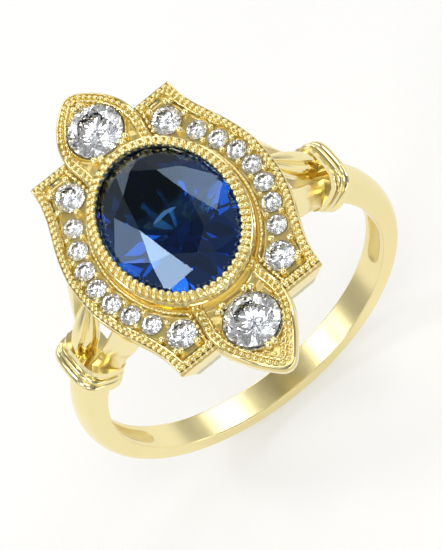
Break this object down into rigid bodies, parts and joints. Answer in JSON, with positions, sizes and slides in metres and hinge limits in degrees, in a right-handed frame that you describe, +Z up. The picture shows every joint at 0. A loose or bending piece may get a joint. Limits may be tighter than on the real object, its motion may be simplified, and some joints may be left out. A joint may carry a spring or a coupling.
{
  "type": "engagement ring",
  "caption": "Yellow-gold ring with split shoulders, pointed milgrain halo, oval blue bezel-set stone and round diamonds.",
  "frame": {"origin": "centre of the finger bore", "axes": "+Y along the finger, towards the fingertip; +X towards the right shoulder; +Z up through the head"},
  "size_m": [0.02, 0.0204, 0.0232],
  "materials": {
    "yellow_gold": "polished",
    "diamond": "faceted, colourless",
    "sapphire": "faceted, deep blue"
  },
  "bodies": {
    "root": {"centre_bezel": "yellow_gold", "corner_prongs": "yellow_gold", "front_tip_collet": "yellow_gold", "front_tip_diamond": "diamond", "gallery_base": "yellow_gold", "left_collar": "yellow_gold", "left_front_branch": "yellow_gold", "left_front_corner_diamond": "diamond", "left_halo_panel": "yellow_gold", "left_rear_branch": "yellow_gold", "left_rear_corner_diamond": "diamond", "left_shoulder_leaf": "yellow_gold", "left_side_diamond_1": "diamond", "left_side_diamond_2": "diamond", "left_side_diamond_3": "diamond", "left_side_diamond_4": "diamond", "left_side_diamond_5": "diamond", "left_side_diamond_6": "diamond", "left_side_diamond_7": "diamond", "pave_beads": "yellow_gold", "rear_tip_collet": "yellow_gold", "rear_tip_diamond": "diamond", "right_collar": "yellow_gold", "right_front_branch": "yellow_gold", "right_front_corner_diamond": "diamond", "right_halo_panel": "yellow_gold", "right_rear_branch": "yellow_gold", "right_rear_corner_diamond": "diamond", "right_shoulder_leaf": "yellow_gold", "right_side_diamond_1": "diamond", "right_side_diamond_2": "diamond", "right_side_diamond_3": "diamond", "right_side_diamond_4": "diamond", "right_side_diamond_5": "diamond", "right_side_diamond_6": "diamond", "right_side_diamond_7": "diamond", "sapphire": "sapphire", "shank": "yellow_gold", "tip_prongs": "yellow_gold"}
  },
  "joints": []
}
